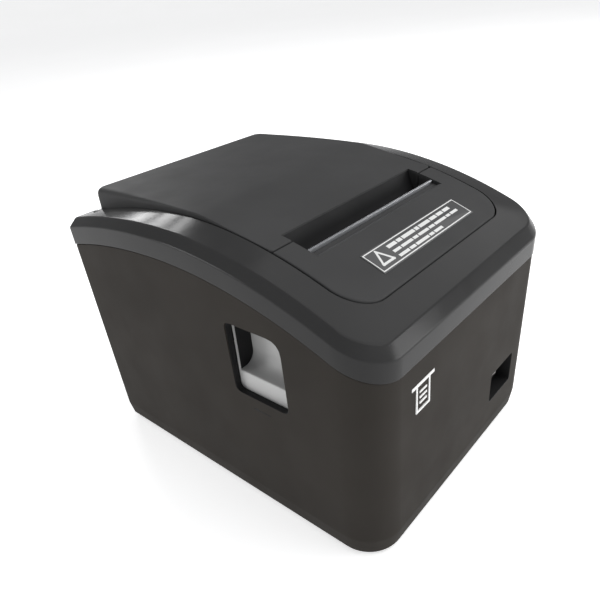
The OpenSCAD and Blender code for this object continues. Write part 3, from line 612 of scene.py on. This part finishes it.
# ---------------------------------------------------------------- release lever and switch
def build_lever():
    """The grey lever: a face, a ledge and a concave scoop behind it, seen in the side window."""
    face, back, wall, scoop_r = -67.9, -58.0, 1.6, 5.5
    bottom, ledge, top = 57, 72, 98.5
    bend = arc(back - wall - scoop_r, ledge + scoop_r, scoop_r, -90, 0, 12)
    scoop = [(face, bottom), (face, ledge)] + bend + [(back - wall, top), (back, top), (back, bottom)]
    outline = rounded(scoop, [0.4, 0.7] + [0] * len(bend) + [0.3, 0.3, 0.4])
    lever = prism("lever_body", outline, "y", -49, -17.2)
    for y0, y1 in ((-18, -17.2), (-49, -47.4)):
        join(lever, box("rim", (face, y0, ledge - 2), (back, y1, top)))
    join(lever, rod("hub", "x", LEVER_AXIS, 6, -62.6, -55))
    join(lever, rod("peg", "x", (-39, 61.5), 1, back - 0.5, -53.5))
    cut(lever, rod("bore", "x", LEVER_AXIS, 2.5, -63.5, -54))
    dress(lever, "release", "lever_grey", 0.2, ["release_lever"])
    # A black plate over the scoop's rear cheek: painted shade for the shadow that falls on that wall.
    cheek = [(face + 0.5, 72.2)] + [(x - 0.15, z + 0.15) for x, z in bend]
    cheek += [(back - wall, 98.4), (face + 0.5, 98.4)]
    shadow_plate = prism("lever_cheek", cheek, "y", -18.15, -17.9)
    dress(shadow_plate, "release", "inner_black")


def build_painted_shade_liners():
    """Black linings of painted shade in the lever's window and in the switch recess, where the case lies in
    shadow.
    """
    # The window's reveal: a black sheet as painted shade.
    window = window_prism(PAINTED_SHADE_LINER, -71.0, -68.2)
    cut(window, window_prism(-0.22, -72, -66))
    cut(window, box("skin", (-80, -60, 50), (lean_out((-CASE_W / 2 + 0.45, 0), 80)[0], 0, 110)))
    dress(window, "case", "inner_black", 0.1)
    # The switch recess: a black sheet as painted shade on its walls and floor.
    well = well_prism(PAINTED_SHADE_LINER, -85.55, -79)
    cut(well, well_prism(-0.2, -95, -70))
    dress(well, "case", "inner_black", 0.1)


def build_rocker_marks():
    """The bar and the ring that tell on from off, on the two halves of the rocker."""
    low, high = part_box("power_rocker")
    width = (high[0] - low[0]) / MM
    mid, z, slope = width * 0.25, ROCKER[2], math.atan2(1.8, 7.2)
    at_axis = Matrix.Translation((ROCKER[0] * MM, ROCKER[1] * MM, 0))
    turn = at_axis @ Matrix.Rotation(math.radians(ROCKER_TILT), 4, "Z")
    pieces = []
    for side, mark in ((-1, "bar"), (1, "ring")):
        if mark == "bar":
            part = box("bar", (-0.25, -0.03, z - 1.3), (0.25, 0.03, z + 1.3))
        else:
            part = prism("ring", circle(0, z, 1.25, 32), "y", -0.03, 0.03)
            cut(part, prism("hole", circle(0, z, 0.8, 32), "y", -1, 1))
        lift = -2.6 - mid * math.tan(slope) - 0.01
        place = Matrix.Translation((side * mid * MM, lift * MM, 0)) @ Matrix.Rotation(side * -slope, 4, "Z")
        part.data.transform(turn @ place)
        pieces.append(part)
    marks = merged("rocker_marks", pieces)
    dress(marks, "rocker", "badge_white")


def build_window_mark():
    """A small printed arrow under the lever's window."""
    z = 57.5
    x = lean_out((-CASE_W / 2 + 0.4, 0), z)[0]
    arrow = [(-35.5, z - 0.25), (-29, z - 0.25), (-29, z - 0.8), (-26, z), (-29, z + 0.8), (-29, z + 0.25),
             (-35.5, z + 0.25)]
    mark = prism("window_mark", arrow, "x", x - 0.06, x + 0.3)
    dress(mark, "case", "inner_black")


# ---------------------------------------------------------------- CAD nodes
REPLACED = {"lower_case", "top_frame", "paper_cover", "front_cover", "release_lever", "notice_label"}
EDGE = {"tear_bar": 0.08, "power_switch": 0.25, "power_rocker": 0.35, "feed_button": 0.5, "rear_panel": 0.15,
        "rubber_feet": 0.3, "base_plate": 0.2, "front_badge": 0.05}


def dress_cad_nodes():
    """Gives each CAD node that stays its material and a small worn edge."""
    slots = {s["node"]: s["material_slot"] for s in frame["record"]["subparts"]}
    for name, obj in frame["nodes"].items():
        if name in REPLACED:
            continue
        obj.data.materials.clear()
        obj.data.materials.append(MATERIALS[slots[name]])
        weld = obj.modifiers.new("weld", "WELD")
        weld.merge_threshold = 0.003 * MM
        soften_edges(obj, EDGE.get(name, 0.1), 38)
        even_shading(obj)


# ---------------------------------------------------------------- stage, lights and camera
def build_stage():
    """A pale floor that curves up into a low backdrop all round, far from the printer."""
    flat, curve = 6000, 3000
    section = [(0.5, 0), (flat, 0)] + [(flat + curve * math.sin(a), curve * (1 - math.cos(a)) * 0.6)
                                       for a in (0.25, 0.5, 0.75, 1.0)]
    rings = [circle(0, 0, r, 96) for r, _ in section]
    points = [(x, y, z) for ring, (_, z) in zip(rings, section) for x, y in ring]
    count = len(rings[0])
    faces = [tuple(range(count))]
    for j in range(len(rings) - 1):
        faces += [(j * count + i, j * count + (i + 1) % count, (j + 1) * count + (i + 1) % count,
                   (j + 1) * count + i) for i in range(count)]
    floor = mesh_object("floor", points, faces)
    floor.data.shade_smooth()
    mat, tree, shader, place = start_material("floor", 0.0, 0.2)
    paint = ramp(tree, noise(tree, place, 3), (0.86, 0.86, 0.86), (0.9, 0.9, 0.9))
    tree.links.new(paint, shader.inputs["Base Color"])
    tree.links.new(level(tree, noise(tree, place, 90), 0.75, 0.85), shader.inputs["Roughness"])
    shader.inputs["Emission Color"].default_value = (1, 1, 1, 1)
    shader.inputs["Emission Strength"].default_value = 0.6
    floor.data.materials.append(mat)


def aim(obj, target):
    obj.rotation_euler = (Vector(target) - obj.location).to_track_quat("-Z", "Y").to_euler()


def area_light(name, spot, target, size, power):
    data = bpy.data.lights.new(name, "AREA")
    data.shape = "RECTANGLE"
    data.size, data.size_y = size
    data.energy = power
    lamp = bpy.data.objects.new(name, data)
    lamp.location = spot
    bpy.context.collection.objects.link(lamp)
    aim(lamp, target)


def build_lights():
    """A broad lamp above, two lower ones, and three panes that the paper cover reflects."""
    middle = (0, 0, 0.07)
    area_light("above", (0.55, -0.45, 1.35), middle, (1.9, 1.9), 20)
    area_light("front_right", (0.85, -1.2, 0.2), middle, (0.5, 0.5), 6.5)
    area_light("rear_left", (-0.95, 0.8, 0.4), middle, (0.4, 0.5), 4)
    for pane in range(3):
        spot = (0.42 - 0.02 * pane, 1.12 - 0.06 * pane, 0.52 + 0.17 * pane)
        area_light("pane_%d" % pane, spot, (-0.063, 0.035, 0.125), (0.24, 0.115), 0.9)
    world = bpy.data.worlds.new("studio")
    world.use_nodes = True
    world.node_tree.nodes["Background"].inputs["Color"].default_value = (0.97, 0.98, 1.0, 1)
    world.node_tree.nodes["Background"].inputs["Strength"].default_value = 0.3
    bpy.context.scene.world = world
    bpy.context.scene.view_settings.view_transform = "Standard"


def build_camera():
    """The photograph's view: where the camera stood, which way it looked and how far it was rolled."""
    spot = (-0.19224, -0.17369, 0.21035)
    heading, tilt, roll = math.radians(43.517), math.radians(-28.873), math.radians(-5.961)
    ahead = Vector((math.cos(heading) * math.cos(tilt), math.sin(heading) * math.cos(tilt), math.sin(tilt)))
    level_right = ahead.cross(Vector((0, 0, 1))).normalized()
    level_up = level_right.cross(ahead)
    right = level_right * math.cos(roll) + level_up * math.sin(roll)
    up = right.cross(ahead)
    data = bpy.data.cameras.new("camera")
    data.sensor_width = 36.0
    data.lens = 34.95
    data.clip_start = 0.01
    camera = bpy.data.objects.new("camera", data)
    turn = Matrix((right, up, -ahead)).transposed().to_4x4()
    camera.matrix_world = Matrix.Translation(spot) @ turn
    bpy.context.collection.objects.link(camera)
    bpy.context.scene.camera = camera


build_camera()
build_lower_case()
build_top_frame()
build_paper_cover()
build_front_cover()
build_label()
build_lever()
build_painted_shade_liners()
build_rocker_marks()
build_window_mark()
dress_cad_nodes()
build_stage()
build_lights()
